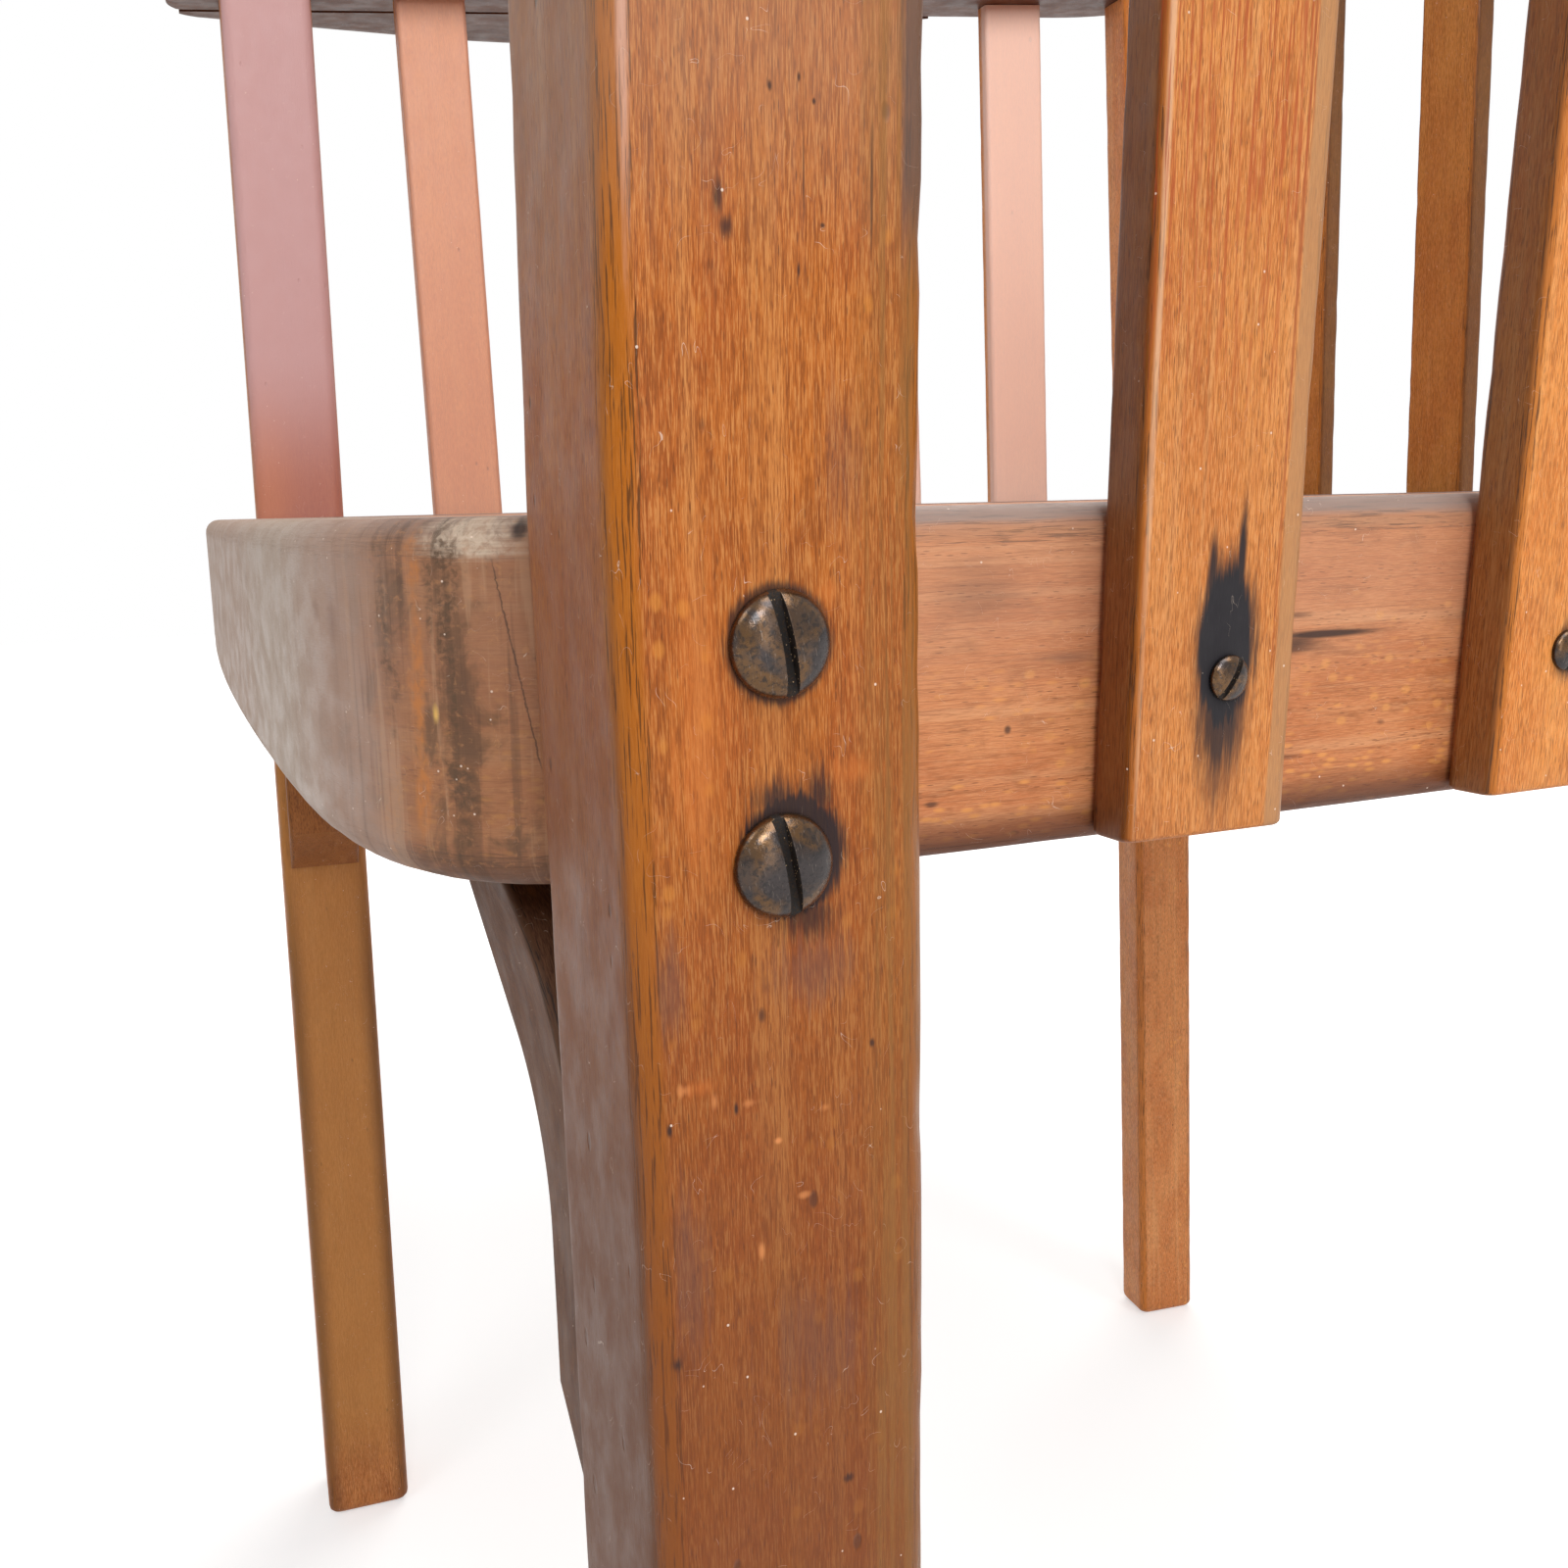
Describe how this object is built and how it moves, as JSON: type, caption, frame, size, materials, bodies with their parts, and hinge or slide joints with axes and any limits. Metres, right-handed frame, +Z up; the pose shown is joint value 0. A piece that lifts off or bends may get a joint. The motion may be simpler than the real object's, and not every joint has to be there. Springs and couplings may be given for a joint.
{
  "type": "bentwood armchair",
  "caption": "Low-backed bentwood armchair: a bent hoop arm rail with a curved crest, flat slats at the sides and back, square legs and a flat seat in a bent rail.",
  "frame": {"origin": "centre of the bounding box at the floor", "axes": "+Z up, -Y towards the front of the seat, +X to the right as seen from the front, which is the sitter's left"},
  "size_m": [0.6598, 0.5136, 0.7896],
  "materials": {
    "rail_wood": "worn orange-brown shellac",
    "panel_wood": "worn orange-brown shellac",
    "leg_wood": "worn orange-brown shellac",
    "slat_wood": "worn orange-brown shellac",
    "bow_wood": "worn orange-brown shellac",
    "screw_metal": "dark oiled slotted screws, scratched"
  },
  "bodies": {
    "root": {"seat_rail": "rail_wood", "seat_panel": "panel_wood", "front_leg_left": "leg_wood", "front_leg_right": "leg_wood", "back_leg_left": "leg_wood", "back_leg_right": "leg_wood", "front_brace_left": "leg_wood", "front_brace_right": "leg_wood", "left_slat_1": "slat_wood", "left_slat_2": "slat_wood", "left_slat_3": "slat_wood", "left_slat_4": "slat_wood", "left_slat_5": "slat_wood", "right_slat_1": "slat_wood", "right_slat_2": "slat_wood", "right_slat_3": "slat_wood", "right_slat_4": "slat_wood", "right_slat_5": "slat_wood", "back_slat_1": "slat_wood", "back_slat_2": "slat_wood", "back_slat_3": "slat_wood", "back_slat_4": "slat_wood", "back_slat_5": "slat_wood", "arm_bow": "bow_wood", "arm_wing_left": "bow_wood", "arm_wing_right": "bow_wood", "back_crest": "bow_wood", "front_leg_screw_left_1": "screw_metal", "front_leg_screw_left_2": "screw_metal", "front_leg_screw_right_1": "screw_metal", "front_leg_screw_right_2": "screw_metal", "back_leg_screw_left_1": "screw_metal", "back_leg_screw_left_2": "screw_metal", "back_leg_screw_right_1": "screw_metal", "back_leg_screw_right_2": "screw_metal", "left_slat_screw_1": "screw_metal", "left_slat_screw_2": "screw_metal", "left_slat_screw_3": "screw_metal", "left_slat_screw_4": "screw_metal", "left_slat_screw_5": "screw_metal", "right_slat_screw_1": "screw_metal", "right_slat_screw_2": "screw_metal", "right_slat_screw_3": "screw_metal", "right_slat_screw_4": "screw_metal", "right_slat_screw_5": "screw_metal", "back_slat_screw_1": "screw_metal", "back_slat_screw_2": "screw_metal", "back_slat_screw_3": "screw_metal", "back_slat_screw_4": "screw_metal", "back_slat_screw_5": "screw_metal", "brace_screw_left_1": "screw_metal", "brace_screw_left_2": "screw_metal", "brace_screw_right_1": "screw_metal", "brace_screw_right_2": "screw_metal", "crest_screw_left": "screw_metal", "crest_screw_right": "screw_metal"}
  },
  "joints": []
}
